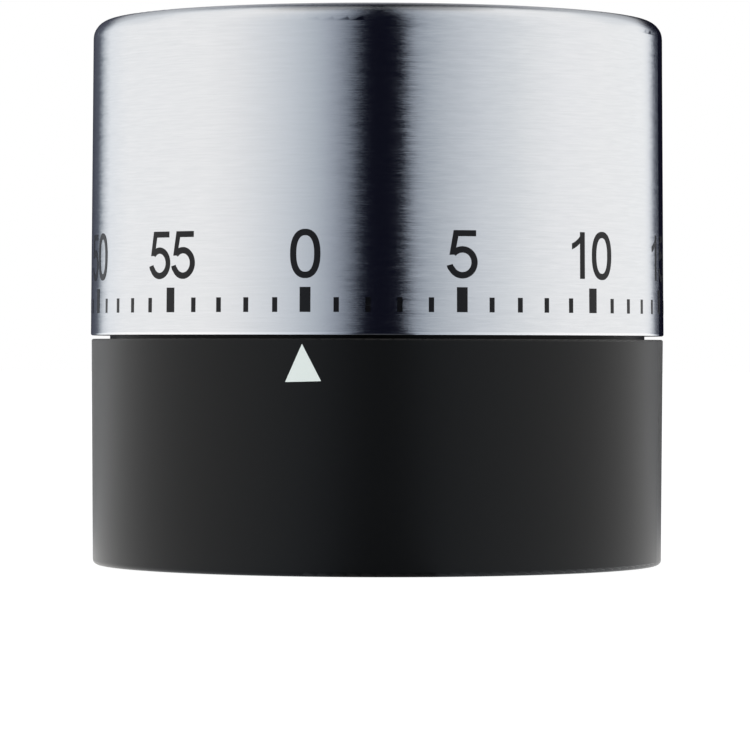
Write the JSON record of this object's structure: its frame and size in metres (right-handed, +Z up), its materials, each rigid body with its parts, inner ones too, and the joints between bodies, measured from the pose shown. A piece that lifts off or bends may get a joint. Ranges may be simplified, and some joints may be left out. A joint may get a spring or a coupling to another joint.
{
  "type": "kitchen timer",
  "caption": "Round wind-up kitchen timer: brushed steel cap that turns on a matt black base, with its clockwork, bell and hammer inside.",
  "frame": {"origin": "centre of the foot ring's underside, on the table", "axes": "+Z up along the dial's axis, -Y towards the pointer on the base, +X to the right of someone facing the pointer"},
  "size_m": [0.06, 0.06, 0.0568],
  "materials": {
    "cap_steel": "brushed",
    "carrier_plastic": "moulded",
    "base_plastic": "soft touch matt",
    "cover_plastic": "fine texture",
    "foot_rubber": "matt",
    "zinc_steel": "zinc plated",
    "bell_steel": "nickel plated",
    "plate_brass": "brushed",
    "wheel_brass": "satin",
    "tempered_steel": "blued",
    "pinion_steel": "polished",
    "acetal": "moulded"
  },
  "bodies": {
    "base": {"base_shell": "base_plastic", "bottom_cover": "cover_plastic", "foot_ring": "foot_rubber", "cover_screws": "zinc_steel", "movement_screws": "zinc_steel", "bell": "bell_steel", "bell_screw": "zinc_steel", "lower_plate": "plate_brass", "upper_plate": "plate_brass", "plate_pillars": "wheel_brass", "pillar_nuts": "wheel_brass", "stop_post": "pinion_steel", "release_post": "wheel_brass", "release_spring": "tempered_steel", "hairspring_stud": "wheel_brass"},
    "dial": {"steel_cap": "cap_steel", "dial_carrier": "carrier_plastic", "hub_screw": "zinc_steel", "main_arbor": "pinion_steel", "arbor_clip": "tempered_steel", "spring_core": "pinion_steel", "great_wheel": "wheel_brass", "ratchet_wheel": "pinion_steel", "click_pawls": "tempered_steel", "pawl_rivets": "wheel_brass", "click_springs": "tempered_steel", "alarm_cam": "acetal"},
    "barrel": {"spring_barrel": "wheel_brass", "barrel_cover": "wheel_brass", "mainspring": "tempered_steel"},
    "second": {"second_pinion": "pinion_steel", "second_wheel": "wheel_brass"},
    "third": {"third_pinion": "pinion_steel", "third_wheel": "wheel_brass"},
    "fourth": {"fourth_pinion": "pinion_steel", "fourth_wheel": "wheel_brass"},
    "escape": {"escape_pinion": "pinion_steel", "escape_wheel": "acetal"},
    "balance": {"balance_staff": "pinion_steel", "pallet_anchor": "tempered_steel", "balance_wheel": "wheel_brass", "hairspring": "tempered_steel", "hairspring_collet": "wheel_brass"},
    "strike": {"strike_pinion": "pinion_steel", "strike_wheel": "wheel_brass"},
    "hammer": {"hammer_arbor": "pinion_steel", "hammer_lever": "tempered_steel", "hammer_arm": "pinion_steel", "hammer_head": "wheel_brass"}
  },
  "joints": [
    {"name": "dial_turn", "type": "hinge", "parent": "base", "child": "dial", "pos_m": [0, 0, 0.0345], "axis": [0, 0, -1], "range_deg": [0, 354], "deforming": ["mainspring", "release_spring"]},
    {"name": "second_turn", "type": "hinge", "parent": "base", "child": "second", "pos_m": [0.01735, -0.00228, 0.024], "axis": [0, 0, 1], "range_deg": [0, 2124]},
    {"name": "third_turn", "type": "hinge", "parent": "base", "child": "third", "pos_m": [0.01732, 0.00492, 0.024], "axis": [0, 0, -1], "range_deg": [0, 10620]},
    {"name": "fourth_turn", "type": "hinge", "parent": "base", "child": "fourth", "pos_m": [0.014, 0.01131, 0.024], "axis": [0, 0, 1], "range_deg": [0, 53100]},
    {"name": "escape_turn", "type": "hinge", "parent": "base", "child": "escape", "pos_m": [0.00845, 0.01589, 0.024], "axis": [0, 0, -1], "range_deg": [0, 265500]},
    {"name": "balance_swing", "type": "hinge", "parent": "base", "child": "balance", "pos_m": [0.00276, 0.01779, 0.024], "axis": [0, 0, 1], "range_deg": [-6, 6], "stiffness_Nm_per_rad": 0.000004, "deforming": ["hairspring"]},
    {"name": "barrel_turn", "type": "hinge", "parent": "base", "child": "barrel", "pos_m": [0, 0, 0.0345], "axis": [0, 0, -1], "range_deg": [0, 240]},
    {"name": "strike_turn", "type": "hinge", "parent": "base", "child": "strike", "pos_m": [-0.01472, 0.0085, 0.024], "axis": [0, 0, 1], "range_deg": [0, 1800]},
    {"name": "hammer_swing", "type": "hinge", "parent": "base", "child": "hammer", "pos_m": [-0.01775, 0.00298, 0.024], "axis": [0, 0, -1], "range_deg": [-6, 5]}
  ],
  "couplings": [
    {"joint": "second_turn", "follows": "dial_turn", "ratio": 6},
    {"joint": "third_turn", "follows": "dial_turn", "ratio": 30},
    {"joint": "fourth_turn", "follows": "dial_turn", "ratio": 150},
    {"joint": "escape_turn", "follows": "dial_turn", "ratio": 750},
    {"joint": "strike_turn", "follows": "barrel_turn", "ratio": 7.5}
  ]
}
